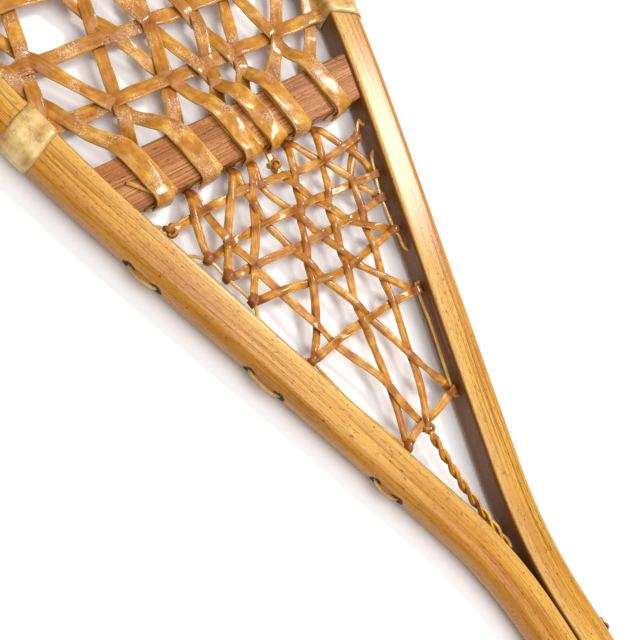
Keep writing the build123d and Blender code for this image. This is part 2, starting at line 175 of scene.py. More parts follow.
def rail_at(x, side):
    """Centre, direction towards the toe and outward direction of a rail at x."""
    i = int(np.argmin(np.abs(LEFT_RAIL[: int(len(LEFT_RAIL) * 0.93), 0] - x)))
    i = min(max(i, 1), len(LEFT_RAIL) - 2)
    before, after = LEFT_RAIL[i], LEFT_RAIL[i + 1]
    if before[0] > x:
        before, after = LEFT_RAIL[i - 1], before
    share = (x - before[0]) / (after[0] - before[0])
    centre = before + share * (after - before)
    ahead = after - before
    ahead[2] = 0
    ahead /= np.linalg.norm(ahead)
    outward = np.array((-ahead[1], ahead[0], 0.0))
    flip = np.array((1, side, 1))
    return centre * flip, ahead * flip, outward * flip


def face_y(x):
    """Distance from the middle line to the rail's inner face at x."""
    centre, ahead, _ = rail_at(x, 1)
    return centre[1] - RAIL_WIDTH / 2 / ahead[0]


TOE_BEND_X = toe_bar_high.x + 4 * MM
bent = LEFT_RAIL[LEFT_RAIL[:, 0] > TOE_BEND_X]
TOE_BEND = np.polyfit(bent[:, 0] - TOE_BEND_X, bent[:, 2] - mid_z, 4)


def web_z(x):
    """Height of the middle of the rails at x, rising along the turned-up toe."""
    return mid_z + (np.polyval(TOE_BEND, x - TOE_BEND_X) if x > TOE_BEND_X else 0.0)


def toe_slope(x):
    """Rise of the toe per unit of x."""
    return np.where(x > TOE_BEND_X, np.polyval(np.polyder(TOE_BEND), x - TOE_BEND_X), 0.0)


# ---- Meshes ----
def new_piece(name, vertices, faces, material, replaced, attributes):
    """A mesh piece that rides the shoe, takes a material and stands in for CAD nodes."""
    mesh = bpy.data.meshes.new(name)
    mesh.from_pydata([tuple(v) for v in vertices], [], faces)
    shell = bmesh.new()
    shell.from_mesh(mesh)
    bmesh.ops.recalc_face_normals(shell, faces=shell.faces)
    shell.to_mesh(mesh)
    shell.free()
    for key, values in attributes.items():
        layer = mesh.attributes.new(key, "FLOAT_VECTOR", "POINT")
        layer.data.foreach_set("vector", np.asarray(values, np.float32).ravel())
    mesh.materials.append(material)
    mesh.shade_smooth()
    piece = bpy.data.objects.new(name, mesh)
    bpy.context.scene.collection.objects.link(piece)
    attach(piece, "root")
    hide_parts(*replaced)
    return piece


class Parts:
    """Collects the grids of one piece, so that a piece of many strands is one mesh."""

    def __init__(self):
        self.vertices, self.faces, self.lace = [], [], []
        self.count = 0

    def grid(self, rows, lace, closed_rows=False):
        """rows: stations x around x 3. Each row is a closed ring."""
        stations, around = rows.shape[:2]
        self.vertices.append(rows.reshape(-1, 3))
        self.lace.append(lace.reshape(-1, 3))
        base = self.count
        index = base + np.arange(stations * around).reshape(stations, around)
        last = stations if closed_rows else stations - 1
        for i in range(last):
            row, following = index[i], index[(i + 1) % stations]
            for j in range(around):
                k = (j + 1) % around
                self.faces.append((row[j], row[k], following[k], following[j]))
        if not closed_rows:
            self.faces.append(tuple(index[0][::-1]))
            self.faces.append(tuple(index[-1]))
        self.count += stations * around

    def build(self, name, material, replaced, slot):
        return new_piece(name, np.vstack(self.vertices), [tuple(map(int, f)) for f in self.faces], material,
                         replaced, {"lace": np.vstack(self.lace)})


def frames_along(path, up=(0, 0, 1)):
    """Tangents and normals that turn as little as they can along a path."""
    tangents = np.gradient(path, axis=0)
    tangents /= np.linalg.norm(tangents, axis=1)[:, None] + 1e-12
    normals = np.zeros_like(path)
    first = np.array(up, float) - tangents[0] * np.dot(up, tangents[0])
    normals[0] = first / np.linalg.norm(first)
    for i in range(1, len(path)):
        n = normals[i - 1] - tangents[i] * np.dot(normals[i - 1], tangents[i])
        normals[i] = n / (np.linalg.norm(n) + 1e-12)
    return tangents, normals


def turned(normals, tangents, angles):
    """Normals turned about the path by the angles given."""
    sides = np.cross(tangents, normals)
    return normals * np.cos(angles)[:, None] + sides * np.sin(angles)[:, None]


def wander(along, scale, seed):
    """A smooth random line between -1 and 1."""
    return np.array([noise.noise(Vector((a / scale, seed * 7.3, 2.1))) for a in along])


def lace_section(count, curl=0.0):
    """Outline of a rawhide lace across its width, half sizes of 1: a flat strip with round edges."""
    t = np.linspace(0, 2 * math.pi, count, endpoint=False)
    across = np.sign(np.cos(t)) * np.abs(np.cos(t)) ** 0.75
    thick = np.sign(np.sin(t)) * np.abs(np.sin(t)) ** 0.75
    return across, thick + curl * (across ** 2 - 0.4)


def lace(parts, path, width, thickness, flat=None, dark=None, seed=0, around=12, twist=0.35,
         wobble=0.1, up=(0, 0, 1), curl=0.35):
    """Adds a rawhide lace along a path. flat is true at the stations where it lies level; dark holds painted
    shade at each station.
    """
    along = distance_along(path)
    tangents, normals = frames_along(path, up)
    if flat is not None and flat.any():
        level = np.array((0, 0, 1.0)) - tangents * tangents[:, 2:3]
        level /= np.linalg.norm(level, axis=1)[:, None] + 1e-9
        sides = np.cross(tangents, normals)
        error = np.arctan2((level * sides).sum(1), (level * normals).sum(1))
        spots = np.flatnonzero(flat)
        wanted = np.unwrap(2 * error[spots]) / 2
        normals = turned(normals, tangents, np.interp(np.arange(len(path)), spots, wanted))
    normals = turned(normals, tangents, twist * wander(along, 0.016, seed + 0.5))
    sides = np.cross(tangents, normals)
    half_w = width / 2 * (1 + wobble * 1.6 * wander(along, 0.011, seed + 3.1))
    half_t = thickness / 2 * (1 + wobble * wander(along, 0.007, seed + 5.7))
    across, thick = lace_section(around, curl=curl)
    rows = (path[:, None, :] + sides[:, None, :] * (across[None, :, None] * half_w[:, None, None])
            + normals[:, None, :] * (thick[None, :, None] * half_t[:, None, None]))
    rows += 0.00012 * np.array([[noise.noise(Vector(p * 420)) for p in row] for row in rows])[:, :, None] \
        * normals[:, None, :]
    info = np.zeros(rows.shape)
    info[:, :, 0] = along[:, None] + seed * 1.37
    info[:, :, 1] = across[None, :]
    # third value: painted shade
    info[:, :, 2] = 0 if dark is None else dark[:, None]
    parts.grid(rows, info)


def weave(runs, lift, spread=3.0 * MM):
    """Heights and painted crossing shade for straight or curved plan runs, each (family, N x 2 points).

    A run of one family passes over the next family and under the one before it.
    """
    crossings = [[] for _ in runs]
    for i, (family_a, a) in enumerate(runs):
        for j in range(i + 1, len(runs)):
            family_b, b = runs[j]
            if family_a == family_b:
                continue
            p, r = a[:-1][:, None], (a[1:] - a[:-1])[:, None]
            q, s = b[:-1][None], (b[1:] - b[:-1])[None]
            cross = r[..., 0] * s[..., 1] - r[..., 1] * s[..., 0]
            cross = np.where(np.abs(cross) < 1e-14, 1e-14, cross)
            d = q - p
            t = (d[..., 0] * s[..., 1] - d[..., 1] * s[..., 0]) / cross
            u = (d[..., 0] * r[..., 1] - d[..., 1] * r[..., 0]) / cross
            found = np.argwhere((t >= 0) & (t < 1) & (u >= 0) & (u < 1))
            if len(found):
                m, n = found[0]
                over = 1 if (family_a - family_b) % 3 == 1 else -1
                crossings[i].append((m + t[m, n], over))
                crossings[j].append((n + u[m, n], -over))
    heights, painted_crossing_shades = [], []
    for (family, points), marked in zip(runs, crossings):
        marked.sort()
        gap = np.linalg.norm(points[1] - points[0])
        stations = np.arange(len(points))
        keys = [(0.0, 0.0)] + [(s, o * lift) for s, o in marked] + [(len(points) - 1.0, 0.0)]
        height = np.zeros(len(points))
        for (s0, h0), (s1, h1) in zip(keys, keys[1:]):
            inside = (stations >= s0) & (stations <= s1)
            share = (stations[inside] - s0) / max(s1 - s0, 1e-6)
            height[inside] = h0 + (h1 - h0) * (3 * share ** 2 - 2 * share ** 3)
        heights.append(height)
        # painted shade round each crossing: full on the strand beneath, lighter on the one above
        painted_crossing_shade = np.zeros(len(points))
        for s, over in marked:
            strength = 0.6 if over > 0 else 1.0
            painted_crossing_shade = np.maximum(painted_crossing_shade, np.exp(-((stations - s) * gap / spread) ** 2) * strength)
        painted_crossing_shades.append(painted_crossing_shade)
    return heights, painted_crossing_shades


# ---- Materials ----
class Shader:
    """A material's node tree, with short calls for the nodes used here."""

    def __init__(self, name):
        self.material = bpy.data.materials.new(name)
        self.material.use_nodes = True
        self.tree = self.material.node_tree
        self.surface = self.tree.nodes["Principled BSDF"]

    def node(self, kind, links=None, values=None, **settings):
        made = self.tree.nodes.new("ShaderNode" + kind)
        for key, value in settings.items():
            setattr(made, key, value)
        for key, value in (values or {}).items():
            made.inputs[key].default_value = value
        for key, source in (links or {}).items():
            self.tree.links.new(source, made.inputs[key])
        return made

    def noise(self, vector, stretch, detail, rough=0.55, shift=(0, 0, 0)):
        """Noise with as many cells to the metre along each axis as stretch says."""
        placed = self.node("Mapping", {"Vector": vector}, {"Scale": stretch, "Location": shift})
        values = {"Scale": 1.0, "Detail": detail, "Roughness": rough, "Distortion": 0.0}
        return self.node("TexNoise", {"Vector": placed.outputs["Vector"]}, values).outputs["Fac"]

    def ramp(self, factor, stops):
        made = self.node("ValToRGB", {"Fac": factor})
        band = made.color_ramp
        while len(band.elements) < len(stops):
            band.elements.new(0.5)
        for element, (place, colour) in zip(band.elements, stops):
            element.position = place
            element.color = (*colour, 1)
        return made.outputs["Color"]

    def curve(self, factor, low, high, out_low=0.0, out_high=1.0):
        values = {"From Min": low, "From Max": high, "To Min": out_low, "To Max": out_high}
        return self.node("MapRange", {"Value": factor}, values, interpolation_type="SMOOTHSTEP").outputs[0]

    def mix(self, factor, a, b):
        made = self.node("Mix", data_type="RGBA", blend_type="MIX")
        for socket, value in ((made.inputs[0], factor), (made.inputs[6], a), (made.inputs[7], b)):
            if isinstance(value, (int, float)):
                socket.default_value = value
            elif isinstance(value, tuple):
                socket.default_value = (*value, 1)
            else:
                self.tree.links.new(value, socket)
        return made.outputs[2]

    def maths(self, operation, a, b=0.0):
        made = self.node("Math", operation=operation)
        for socket, value in ((made.inputs[0], a), (made.inputs[1], b)):
            if isinstance(value, (int, float)):
                socket.default_value = value
            else:
                self.tree.links.new(value, socket)
        return made.outputs[0]

    def times(self, a, b):
        return self.maths("MULTIPLY", a, b)

    def attribute(self, name):
        return self.node("Attribute", attribute_name=name).outputs["Vector"]

    def split(self, vector):
        return self.node("SeparateXYZ", {"Vector": vector}).outputs

    def bump(self, height, distance, strength=1.0):
        values = {"Distance": distance, "Strength": strength}
        made = self.node("Bump", {"Height": height}, values)
        self.tree.links.new(made.outputs["Normal"], self.surface.inputs["Normal"])

    def paint(self, colour, roughness=None):
        self.tree.links.new(colour, self.surface.inputs["Base Color"])
        if roughness is not None:
            self.tree.links.new(roughness, self.surface.inputs["Roughness"])

    def finish(self, coat=0.0, coat_rough=0.1, metallic=0.0, subsurface=0.0, specular=0.15):
        surface = self.surface.inputs
        surface["Specular IOR Level"].default_value = specular
        surface["Coat Weight"].default_value = coat
        surface["Coat Roughness"].default_value = coat_rough
        surface["IOR"].default_value = 1.5
        surface["Metallic"].default_value = metallic
        surface["Subsurface Weight"].default_value = subsurface
        surface["Subsurface Radius"].default_value = (1.0, 0.4, 0.1)
        surface["Subsurface Scale"].default_value = 0.0012
        return self.material


def wood_material(name, vector_of, colours, ring_gap, line_gap, coat, streak=0.5, painted_inner_shade=0.0):
    """Straight-grained wood. The grain vector runs along the piece in X, across in Y and through in Z."""
    shade = Shader(name)
    grain = vector_of(shade)
    warp = shade.noise(grain, (5, 30, 30), 2.0)
    warped = shade.node("VectorMath", {0: grain}, operation="ADD")
    offset = shade.node("CombineXYZ", {"Y": shade.times(warp, 0.008)})
    shade.tree.links.new(offset.outputs[0], warped.inputs[1])
    warped = warped.outputs[0]
    tilt = shade.node("VectorMath", {0: warped}, operation="DOT_PRODUCT")
    tilt.inputs[1].default_value = (0.0, 0.86, 0.5)
    rings = shade.maths("SINE", shade.times(tilt.outputs["Value"], 2 * math.pi / ring_gap))
    broken = shade.noise(warped, (12, 420, 420), 3.0, 0.6, shift=(7, 1, 4))
    rings = shade.times(shade.curve(rings, 0.25, 1.0), shade.curve(broken, 0.36, 0.62))
    fine = shade.noise(warped, (14, 1 / line_gap, 1 / line_gap), 5.0, 0.7)
    pores = shade.noise(warped, (260, 2300, 2300), 2.0, 0.5, shift=(3, 1, 2))
    pores = shade.curve(pores, 0.63, 0.72)
    broad = shade.noise(grain, (9, 90, 90), 3.0, 0.6, shift=(1, 5, 2))
    base = shade.ramp(broad, [(0.3, colours["deep"]), (0.5, colours["main"]), (0.7, colours["pale"])])
    lined = shade.mix(shade.curve(fine, 0.44, 0.62, 0.0, 0.85), base, colours["line"])
    lined = shade.mix(shade.times(rings, streak), lined, colours["ring"])
    lined = shade.mix(shade.times(pores, 0.6), lined, colours["pore"])
    if painted_inner_shade:
        # Painted light across the rail's profile: painted shade on the outer part, a painted highlight on the
        # inner part of the top, and painted shade on the inner face.
        across = shade.split(grain)[1]
        lined = shade.mix(shade.curve(across, 0.002, 0.0105, 0.0, 0.5), lined, colours["deep"])
        lined = shade.mix(shade.curve(across, -0.0095, 0.001, 0.4, 0.0), lined, colours["painted_highlight"])
        lined = shade.mix(shade.curve(across, -0.0108, -0.0098, painted_inner_shade, 0.0), lined, colours["side"])
        # Painted shade at the stitch holes, near black, as the frame has only shallow dents there.
        painted_hole_shade = shade.split(shade.attribute("holes"))[0]
        lined = shade.mix(shade.curve(painted_hole_shade, 0.02, 0.3), lined, (0.004, 0.002, 0.001))
    flecks = shade.noise(grain, (420, 900, 900), 1.0, 0.4, shift=(9, 3, 5))
    lined = shade.mix(shade.curve(flecks, 0.70, 0.76, 0.0, 0.8), lined, colours["pore"])
    shade.paint(lined, shade.curve(fine, 0.3, 0.8, 0.22, 0.5))
    crinkle = shade.noise(grain, (500, 900, 900), 2.0, 0.6)
    relief = shade.maths("SUBTRACT", shade.times(fine, 0.6), shade.times(pores, 0.8))
    shade.bump(shade.maths("ADD", relief, shade.times(crinkle, 1.1)), 0.00035, 0.9)
    made = shade.finish(coat=coat, coat_rough=0.22)
    if painted_inner_shade:
        # no varnish over the painted hole shade
        varnished = shade.curve(painted_hole_shade, 0.0, 0.15, coat, 0.0)
        shade.tree.links.new(varnished, shade.surface.inputs["Coat Weight"])
    return made


def object_vector(order):
    """Object coordinates with the grain's axis first."""
    def read(shade):
        xyz = shade.split(shade.node("TexCoord").outputs["Object"])
        made = shade.node("CombineXYZ")
        for socket, axis in zip(made.inputs, order):
            shade.tree.links.new(xyz[axis], socket)
        return made.outputs[0]
    return read


# The dark brown colour for the inner face is painted shade, the lightest colour is a painted highlight on the
# inner top, and the deep colour also paints shade on the outer part.
ASH = {
    "deep": (0.44, 0.16, 0.006), "main": (0.60, 0.27, 0.016), "pale": (0.76, 0.41, 0.055),
    "side": (0.12, 0.032, 0.004), "painted_highlight": (0.84, 0.50, 0.14),
    "ring": (0.17, 0.062, 0.003), "line": (0.33, 0.115, 0.004), "pore": (0.09, 0.028, 0.003),
}
BAR_WOOD = {
    "deep": (0.35, 0.12, 0.025), "main": (0.47, 0.18, 0.045), "pale": (0.62, 0.28, 0.09),
    "ring": (0.20, 0.06, 0.014), "line": (0.18, 0.05, 0.010), "pore": (0.05, 0.015, 0.004),
}


def rawhide_material(name, dark, main, pale, crackle=0.0, painted_edge_shade=0.0):
    """Varnished rawhide. The lace attribute holds distance along, place across and painted shade at
    crossings, folds, knots and the inner sides of turns.
    """
    shade = Shader(name)
    info = shade.split(shade.attribute("lace"))
    place = shade.node("TexCoord").outputs["Object"]
    run = shade.node("CombineXYZ", {"X": info[0], "Y": shade.times(info[1], 0.0022)}).outputs[0]
    blotch = shade.noise(place, (130, 130, 130), 3.0, 0.6)
    strand = shade.noise(run, (60, 900, 1), 3.0, 0.6)
    tone = shade.maths("ADD", shade.times(blotch, 0.6), shade.times(strand, 0.4))
    base = shade.ramp(tone, [(0.32, dark), (0.5, main), (0.68, pale)])
    # Lace edges are painted lighter; where an edge-shade amount is given, as on the rail turns, the edges
    # take painted shade instead.
    edge = shade.curve(shade.maths("ABSOLUTE", info[1]), 0.72, 1.0)
    base = shade.mix(shade.times(edge, painted_edge_shade or 0.45), base, dark if painted_edge_shade else pale)
    # painted shade where laces cross, fold and tuck, mixed towards the dark colour
    crossing = shade.times(info[2], shade.curve(blotch, 0.3, 0.55, 0.55, 0.9))
    base = shade.mix(crossing, base, dark)
    if crackle:
        cells = shade.noise(place, (1300, 1300, 1300), 4.0, 0.7)
        patch = shade.noise(place, (75, 75, 75), 1.0, shift=(4, 2, 1))
        flakes = shade.times(shade.curve(cells, 0.52, 0.6), shade.curve(patch, 0.5, 0.62))
        base = shade.mix(shade.times(flakes, crackle), base, (0.85, 0.78, 0.68))
    shade.paint(base, shade.curve(strand, 0.3, 0.7, 0.33, 0.55))
    grit = shade.noise(place, (900, 900, 900), 2.0, 0.6)
    relief = shade.maths("ADD", strand, shade.times(blotch, 0.8))
    shade.bump(shade.maths("ADD", relief, shade.times(grit, 0.5)), 0.0006, 0.85)
    return shade.finish(coat=0.5, coat_rough=0.13, subsurface=0.1)


def metal_material():
    shade = Shader("aged_copper")
    place = shade.node("TexCoord").outputs["Object"]
    spots = shade.noise(place, (260, 260, 260), 4.0, 0.65)
    stops = [(0.3, (0.30, 0.12, 0.06)), (0.55, (0.62, 0.30, 0.16)), (0.8, (0.72, 0.42, 0.26))]
    shade.paint(shade.ramp(spots, stops), shade.curve(spots, 0.3, 0.7, 0.5, 0.28))
    shade.bump(spots, 0.0002, 0.4)
    return shade.finish(metallic=1.0, specular=0.5)


def floor_material():
    shade = Shader("studio_floor")
    place = shade.node("TexCoord").outputs["Object"]
    cloud = shade.noise(place, (3, 3, 3), 2.0)
    shade.paint(shade.ramp(cloud, [(0.3, (0.94, 0.94, 0.945)), (0.7, (0.96, 0.96, 0.96))]))
    shade.surface.inputs["Roughness"].default_value = 0.9
    return shade.finish()


frame_wood = wood_material(
    "ash_varnished", lambda shade: shade.attribute("grain"), ASH,
    ring_gap=2.9 * MM, line_gap=0.8 * MM, coat=0.55, streak=0.65, painted_inner_shade=0.9)
bar_wood = wood_material(
    "crossbar_hardwood", object_vector((1, 0, 2)), BAR_WOOD,
    ring_gap=1.7 * MM, line_gap=0.45 * MM, coat=0.05, streak=0.6)
lace_hide = rawhide_material("lacing_rawhide", (0.19, 0.035, 0.003), (0.50, 0.185, 0.010), (0.80, 0.45, 0.08))
cord_hide = rawhide_material("lanyard_rawhide", (0.30, 0.10, 0.010), (0.58, 0.28, 0.035), (0.82, 0.56, 0.15))
heavy_hide = rawhide_material(
    "foot_rawhide", (0.28, 0.08, 0.006), (0.50, 0.20, 0.012), (0.74, 0.42, 0.07), crackle=0.5)
bar_hide = rawhide_material(
    "crossbar_rawhide", (0.24, 0.07, 0.005), (0.50, 0.20, 0.013), (0.74, 0.43, 0.08), crackle=0.7)
# rail turns carry painted shade along their edges
rail_hide = rawhide_material(
    "rail_rawhide", (0.34, 0.155, 0.028), (0.62, 0.39, 0.12), (0.78, 0.61, 0.29), crackle=0.3, painted_edge_shade=0.5)
copper = metal_material()


# ---- Frame: the bent ash strip, with its grain following every bend ----
def even_ring(outline, count):
    """A closed outline with count evenly spaced points."""
    return resample(outline, distance_along(outline)[-1] / count)[0][:-1]


def outline_normals(profile):
    """Outward directions at each point of an anticlockwise outline."""
    ahead = unit_rows(np.roll(profile, -1, 0) - np.roll(profile, 1, 0))
    return np.stack([ahead[:, 1], -ahead[:, 0]], 1)


def rounded_outline(width, height, corners, each):
    """A closed rectangle, anticlockwise from its upper right corner, with each corner rounded."""
    points = []
    signs = ((1, 1), (-1, 1), (-1, -1), (1, -1))
    for k, ((sx, sy), corner) in enumerate(zip(signs, corners)):
        cx, cy = sx * (width / 2 - corner), sy * (height / 2 - corner)
        for t in np.linspace(0, math.pi / 2, each):
            angle = k * math.pi / 2 + t
            points.append((cx + corner * math.cos(angle), cy + corner * math.sin(angle)))
    return np.array(points + points[:1])


def rail_profile(count):
    """Outline of the rail: well rounded outside, crisper inside, and slightly crowned."""
    outer, inner = 6.5 * MM, 2.2 * MM
    ring = rounded_outline(RAIL_WIDTH, RAIL_HEIGHT, (outer, inner, inner, outer), count // 4)
    ring[:, 1] -= 0.7 * MM * np.sign(ring[:, 1]) * (ring[:, 0] / (RAIL_WIDTH / 2)) ** 2
    return even_ring(ring, count)


def swept(line, ring):
    """Rows of a ring of (outward, up) points carried along a line, tilted with the toe."""
    tangents = unit_rows(np.gradient(line, axis=0))
    flat = unit_rows(tangents[:, :2])
    outward = np.stack([-flat[:, 1], flat[:, 0], np.zeros(len(line))], 1)
    outward[:, 2] = toe_slope(line[:, 0]) * outward[:, 0]
    outward = unit_rows(outward)
    upward = np.cross(tangents, outward)
    upward *= (np.sign(upward[:, 2]) / np.linalg.norm(upward, axis=1))[:, None]
    return line[:, None] + outward[:, None] * ring[None, :, :1] + upward[:, None] * ring[None, :, 1:]


STITCH_LOW = -0.6 * MM
TAIL_STITCHES = [(heel_x - a * MM, heel_x - b * MM) for a, b in ((31, 47), (105, 124), (188, 203))]
TOE_STITCHES = [(cad_high.x - a * MM, cad_high.x - b * MM) for a, b in ((76, 92), (128, 144))]


def make_frame():
    """The ash strip, whose grain attribute holds distance along, outward and up."""
    ring = rail_profile(60)
    line = WHOLE_RAIL
    rows = swept(line, ring)
    along = distance_along(line)
    grain = np.zeros(rows.shape)
    grain[:, :, 0] = along[:, None]
    grain[:, :, 1] = ring[None, :, 0]
    grain[:, :, 2] = ring[None, :, 1]
    away = unit_rows(rows - line[:, None, :])
    # hand-shaped surface: slight flats and swellings along the strip
    wave = np.array([[noise.noise(Vector((s * 14, a * 70, b * 70))) for a, b in ring] for s in along])
    rows += away * (wave * 0.22 * MM)[:, :, None]
    # shallow grooves that take the lanyard's stitches outside the rail; the holes are painted shade only
    holes = np.zeros(rows.shape)
    low = np.array((0, 0, STITCH_LOW))
    for ahead, behind in TAIL_STITCHES + TOE_STITCHES:
        for side in (1, -1):
            start, _, out_a = rail_at(behind, side)
            end, _, _ = rail_at(ahead, side)
            start, end = start + out_a * RAIL_WIDTH / 2 + low, end + out_a * RAIL_WIDTH / 2 + low
            near = np.argwhere(np.linalg.norm(rows - (start + end) / 2, axis=2) < 0.022)
            for i, j in near:
                p = rows[i, j].copy()
                t = np.clip(np.dot(p - start, end - start) / np.dot(end - start, end - start), 0, 1)
                distance = np.linalg.norm(p - (start + t * (end - start)))
                at_hole = min(np.linalg.norm(p - start), np.linalg.norm(p - end))
                rows[i, j] -= away[i, j] * 0.8 * MM * max(0.0, 1 - (distance / (2.2 * MM)) ** 2)
                holes[i, j, 0] = max(holes[i, j, 0], 1 - (at_hole / (3.8 * MM)) ** 2)
    # the two tail ends are rounded off in plan
    for end, step in ((0, 1), (-1, -1)):
        for k in range(6):
            i = end + step * k
            reach = (6 - k) / 6
            shrink = 1 - 0.42 * reach ** 3
            rows[i] = line[i] + (rows[i] - line[i]) * np.array((1, shrink, 1 - 0.25 * reach ** 3))
    parts = Parts()
    parts.grid(rows, grain)
    faces = [tuple(map(int, face)) for face in parts.faces]
    return new_piece("ash_frame", np.vstack(parts.vertices), faces, frame_wood, ("frame",),
                     {"grain": grain.reshape(-1, 3), "holes": holes.reshape(-1, 3)})


make_frame()
kept = {"heel_crossbar": bar_wood, "toe_crossbar": bar_wood,
        "tail_rivets": copper, "tail_rivet_burrs": copper}
for node, material in kept.items():
    nodes[node].data.materials.clear()
    nodes[node].data.materials.append(material)


# ---- Tail lacing: one long lace from the start knot to the knot at the crossbar ----
LACE_WIDTH, LACE_THICK = 4.7 * MM, 2.0 * MM
LACE_STEP = 1.3 * MM


def behind(x_mm, y_mm):
    """A plan point given in millimetres behind the heel crossbar's middle and to the left."""
    return np.array((heel_x - x_mm * MM, y_mm * MM))


def beside(x_mm, inset_mm, side):
    """A plan point behind the heel crossbar, in from the rail's face."""
    x = heel_x - x_mm * MM
    return np.array((x, side * (face_y(x) - inset_mm * MM)))


LEFT = [beside(x, inset, 1) for x, inset in ((29, 7), (52, 8.5), (64, 8), (81, 7.5), (123, 4.5), (190, 4))]
RIGHT = [beside(x, inset, -1) for x, inset in ((32, 9), (56, 4.5), (69, 6), (88, 4.5), (124, 3), (180, 3))]
BAR = {name: behind(15, y) for name, y in
       (("c1", 45), ("c2", 16), ("c3", 4), ("c5", -22), ("c4", -43))}
APEX = behind(187, 3)
BAR_KNOT = behind(24.5, -6)

# Each run is (set of strands, points it passes through on the way).
ACROSS, STEEP, SHALLOW = 0, 1, 2
TAIL_RUNS = [
    (ACROSS, LEFT[0], [(28, 24), (30, 6), (33, -17), (35, -37)], RIGHT[0]),
    (STEEP, RIGHT[0], [(50, -46), (66, -40), (86, -33.5), (120, -23), (148, -15), (165, -9.5)], APEX),
    (SHALLOW, APEX, [(167, 8.5), (150, 11), (120, 23), (84, 33), (57, 40), (45, 43.5)], BAR["c1"]),
    (STEEP, BAR["c1"], [(32, 53)], LEFT[1]),
    (ACROSS, LEFT[1], [(49, 38), (50, 6), (52, -26)], RIGHT[1]),
    (SHALLOW, RIGHT[1], [(36, -55)], BAR["c4"]),
    (STEEP, BAR["c4"], [(45, -30), (58, -22), (85, -12), (120, 0.5), (155, 7.5), (171, 12.5)], LEFT[5]),
    (ACROSS, LEFT[5], [(185, 10), (184, -8)], RIGHT[5]),
    (SHALLOW, RIGHT[5], [(156, -15), (131, -8), (112, -2), (86, 7), (62, 14), (44, 18)], BAR["c2"]),
    (STEEP, BAR["c2"], [(40, 37)], LEFT[2]),
    (ACROSS, LEFT[2], [(66, 30), (69, 0), (70, -28)], RIGHT[2]),
    (SHALLOW, RIGHT[2], [(44, -40)], BAR["c5"]),
    (STEEP, BAR["c5"], [(45, -9), (57, -2), (72, 6), (85, 12.5), (101, 21), (113, 29)], LEFT[4]),
    (ACROSS, LEFT[4], [(121, 20), (121, -8), (122, -28)], RIGHT[4]),
    (SHALLOW, RIGHT[4], [(109, -28), (88, -15), (68, -7), (48, 1), (32, 7)], BAR["c3"]),
    (STEEP, BAR["c3"], [(48, 25)], LEFT[3]),
    (ACROSS, LEFT[3], [(84, 30), (90, 6), (92, -10), (90, -30)], RIGHT[3]),
    (SHALLOW, RIGHT[3], [(78, -36), (68, -27), (49, -15), (31, -7), (24, -6)], behind(13, -8)),
]


def along_bar(point):
    """Whether an anchor is on the heel crossbar."""
    return point[0] > heel_x - bar_half - 3 * MM


def fold_at(point, coming, going, level):
    """Points of the turn round whatever holds the lace at an anchor."""
    inward = -(coming + going)
    inward /= np.linalg.norm(inward) + 1e-9
    if along_bar(point):
        under = bar_low.z - 1.3 * MM
        reach = 7 * MM
        return [(*(point + coming * 1.5 * MM), level - 2.5 * MM), (*(point - coming * 2.5 * MM), under),
                (*(point + inward * reach), under), (*(point - going * 2.5 * MM), under),
                (*(point + going * 1.5 * MM), level - 2.5 * MM)]
    side = 1 if point[1] > 0 else -1
    out = np.array((0.0, side * 2.2 * MM))
    return [(*(point + coming * 3.2 * MM), level + 1.5 * MM), (*(point + coming * 0.6 * MM + out * 0.4),
            level + 1.9 * MM), (*(point + out), level), (*(point + going * 0.6 * MM + out * 0.4),
            level - 1.9 * MM), (*(point + going * 3.2 * MM), level - 1.5 * MM)]


def unit(vector):
    """The same direction with a length of one."""
    return vector / (np.linalg.norm(vector) + 1e-12)


def make_tail_lacing():
    plans = []
    for family, start, through, end in TAIL_RUNS:
        points = [start, *[behind(*p) for p in through], end]
        plans.append((family, curve_through(points, LACE_STEP)))
    heights, painted_crossing_shades = weave(plans, 1.05 * MM)
    path, flat, dark = [], [], []
    for k, ((family, plan), height, painted_crossing_shade) in enumerate(zip(plans, heights, painted_crossing_shades)):
        cut = 5 if k else 0
        tail_cut = 4 if k < len(plans) - 1 else 1
        body = np.column_stack([plan, mid_z + height])[cut:-tail_cut]
        if k:
            previous = plans[k - 1][1]
            fold = fold_at(plan[0], unit(previous[-5] - previous[-1]), unit(plan[4] - plan[0]), mid_z)
            fold = curve_through(np.vstack([path[-1][-1:], fold, body[:1]]), LACE_STEP)[1:-1]
            path.append(fold)
            flat.append(np.zeros(len(fold), bool))
            # painted shade on the lace where it turns round an anchor
            dark.append(np.full(len(fold), 0.8))
        path.append(body)
        flat.append(np.arange(len(body)) % max(len(body) - 1, 1) > 3)
        dark.append(painted_crossing_shade[cut:-tail_cut])
    parts = Parts()
    whole, level, shade = np.vstack(path), np.concatenate(flat), np.concatenate(dark)
    lace(parts, smooth(whole, 1), LACE_WIDTH, LACE_THICK, level, shade, seed=1, around=14, twist=0.75,
         wobble=0.15, curl=0.5)
    return parts.build("tail_weave", lace_hide, ("tail_lacing",), "lacing_rawhide")


make_tail_lacing()


# ---- Knots ----
def knot_path(place, size, turn, tilt):
    """A pulled overhand knot."""
    t = np.linspace(0, 2 * math.pi, 60, endpoint=False)
    points = np.stack([np.sin(t) + 2 * np.sin(2 * t), np.cos(t) - 2 * np.cos(2 * t), -1.3 * np.sin(3 * t)], 1)
    spin = Matrix.Rotation(turn, 3, "Z") @ Matrix.Rotation(tilt, 3, "X")
    return points / 3 * size @ np.array(spin).T + np.array(place)


